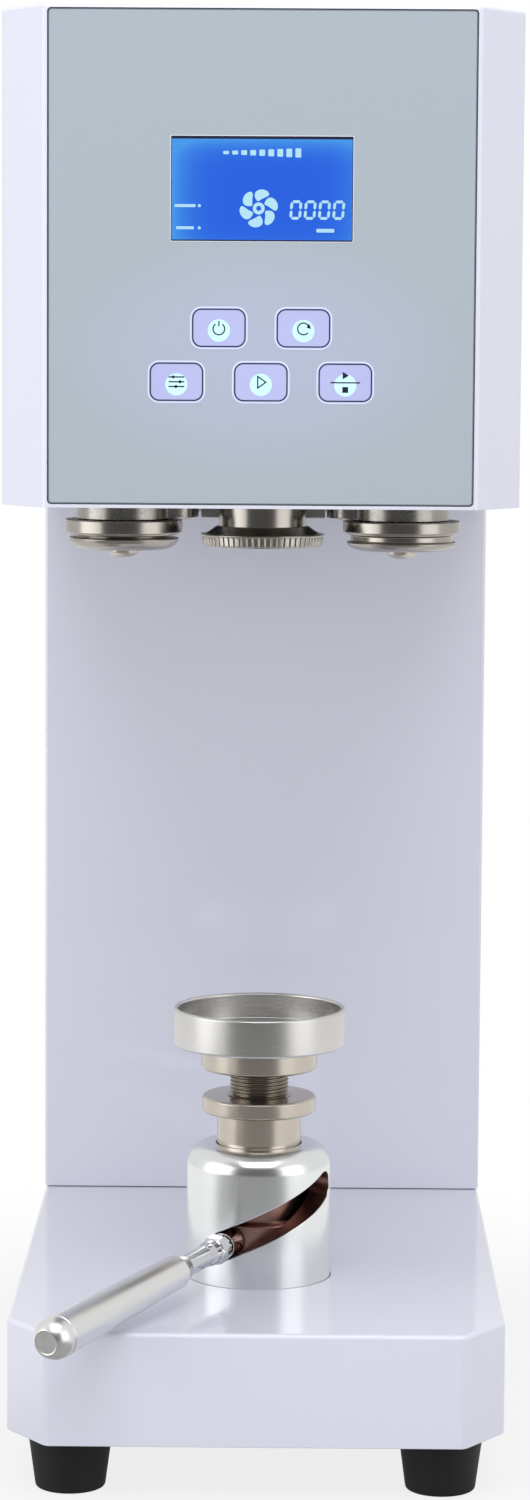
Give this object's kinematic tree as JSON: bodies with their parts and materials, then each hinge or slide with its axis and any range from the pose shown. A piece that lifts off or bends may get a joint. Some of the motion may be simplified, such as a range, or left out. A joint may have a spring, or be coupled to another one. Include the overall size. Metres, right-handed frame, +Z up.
{
  "type": "desktop can seamer",
  "caption": "Benchtop can seamer: sheet metal stand, glass front with display, spinning chuck, swinging seaming rollers and a lever lift for the can seat.",
  "frame": {"origin": "centre of the footprint on the bench, below the middle of the overall box", "axes": "+Z up, the front with the glass panel and the lever faces -Y, +X to the right seen from the front"},
  "size_m": [0.2, 0.441, 0.5849],
  "materials": {
    "paint": "smooth gloss powder coat, white with a cool lavender tint",
    "glass_front": "polished, painted grey behind, opaque except over the display",
    "rubber": "moulded, matt",
    "display": "backlit blue display in a metal bezel",
    "circuit": "solder mask",
    "plastic": "fine moulded texture",
    "zinc": "zinc plated sheet steel",
    "cast": "as cast, shot blasted",
    "motor": "satin black",
    "tool_steel": "turned and ground, warm tint",
    "steel": "turned",
    "arm_steel": "dark machined",
    "screw_steel": "oiled",
    "chrome": "polished",
    "aluminium": "fine turned and polished",
    "plunger": "dark oiled, polished by wear"
  },
  "bodies": {
    "root": {"base_cover": "paint", "base_plate": "zinc", "foot_front_left": "rubber", "foot_front_right": "rubber", "foot_rear_left": "rubber", "foot_rear_right": "rubber", "column_shell": "paint", "spine_frame": "zinc", "rear_panel": "paint", "power_inlet": "plastic", "switch_body": "plastic", "head_shell": "paint", "glass_panel": "glass_front", "lcd_module": "display", "touch_key_board": "circuit", "mechanism_plate": "zinc", "spindle_housing": "cast", "spindle_bearing_lower": "steel", "spindle_bearing_upper": "steel", "motor_bridge": "zinc", "main_motor": "motor", "cam_gear_motor": "zinc", "pivot_screw_left": "screw_steel", "pivot_screw_right": "screw_steel", "return_spring_left": "screw_steel", "return_spring_right": "screw_steel", "power_supply": "zinc", "control_board": "circuit", "lift_housing": "aluminium", "lifter_spring": "screw_steel"},
    "rocker": {"power_rocker": "plastic"},
    "spindle": {"chuck": "tool_steel", "spindle_shaft": "steel", "spindle_gear": "steel"},
    "pinion": {"motor_pinion": "steel"},
    "cam": {"heart_cam": "steel"},
    "arm_left": {"swing_arm_left": "arm_steel", "roller_axle_left": "screw_steel", "follower_pin_left": "screw_steel"},
    "arm_right": {"swing_arm_right": "arm_steel", "roller_axle_right": "screw_steel", "follower_pin_right": "screw_steel"},
    "roller_left": {"seaming_roller_first": "tool_steel"},
    "roller_right": {"seaming_roller_second": "tool_steel"},
    "follower_left": {"cam_follower_left": "steel"},
    "follower_right": {"cam_follower_right": "steel"},
    "lift": {"thrust_washer": "zinc"},
    "lever": {"lift_plunger": "plunger", "lever_rod": "chrome", "slot_bush": "steel", "lever_grip": "aluminium", "lock_nut": "steel"},
    "height": {"height_stud": "steel", "seat_disc": "steel"},
    "seat": {"can_seat": "aluminium"}
  },
  "joints": [
    {"name": "power_switch", "type": "hinge", "parent": "root", "child": "rocker", "pos_m": [0.048, 0.21642, 0.04595], "axis": [1, 0, 0], "range_deg": [0, 18]},
    {"name": "spindle_spin", "type": "hinge", "parent": "root", "child": "spindle", "pos_m": [0, -0.07358, 0.3748], "axis": [0, 0, 1], "continuous": true},
    {"name": "pinion_spin", "type": "hinge", "parent": "root", "child": "pinion", "pos_m": [0, -0.02258, 0.4434], "axis": [0, 0, 1], "continuous": true},
    {"name": "arm_left_swing", "type": "hinge", "parent": "root", "child": "arm_left", "pos_m": [-0.04, -0.01158, 0.3859], "axis": [0, 0, 1], "range_deg": [-6.99, 6.99]},
    {"name": "arm_right_swing", "type": "hinge", "parent": "root", "child": "arm_right", "pos_m": [0.04, -0.01158, 0.3859], "axis": [0, 0, 1], "range_deg": [-6.99, 6.99]},
    {"name": "cam_turn", "type": "hinge", "parent": "root", "child": "cam", "pos_m": [0, 0.04242, 0.3968], "axis": [0, 0, 1], "range_deg": [-80, 80]},
    {"name": "roller_left_spin", "type": "hinge", "parent": "arm_left", "child": "roller_left", "pos_m": [-0.0573, -0.07358, 0.3856], "axis": [0, 0, 1], "continuous": true},
    {"name": "roller_right_spin", "type": "hinge", "parent": "arm_right", "child": "roller_right", "pos_m": [0.0573, -0.07358, 0.3856], "axis": [0, 0, 1], "continuous": true},
    {"name": "follower_left_spin", "type": "hinge", "parent": "arm_left", "child": "follower_left", "pos_m": [-0.026, 0.04242, 0.3968], "axis": [0, 0, 1], "continuous": true},
    {"name": "follower_right_spin", "type": "hinge", "parent": "arm_right", "child": "follower_right", "pos_m": [0.026, 0.04242, 0.3968], "axis": [0, 0, 1], "continuous": true},
    {"name": "lift_rise", "type": "slide", "parent": "root", "child": "lift", "axis": [0, 0, 1], "range_m": [0, 0.0228], "deforming": ["lifter_spring"]},
    {"name": "lever_turn", "type": "hinge", "parent": "lift", "child": "lever", "pos_m": [0, -0.07358, 0.0663], "axis": [0, 0, 1], "range_deg": [0, 95]},
    {"name": "height_adjust", "type": "slide", "parent": "lever", "child": "height", "axis": [0, 0, 1], "range_m": [-0.009, 0.035]},
    {"name": "seat_turn", "type": "hinge", "parent": "height", "child": "seat", "pos_m": [0, -0.07358, 0.1665], "axis": [0, 0, 1], "continuous": true}
  ],
  "couplings": [
    {"joint": "pinion_spin", "follows": "spindle_spin", "ratio": -2.4},
    {"joint": "arm_right_swing", "follows": "arm_left_swing", "ratio": 1},
    {"joint": "cam_turn", "follows": "arm_left_swing", "ratio": 11.447},
    {"joint": "lift_rise", "follows": "lever_turn", "m_per_rad": 0.01375}
  ]
}
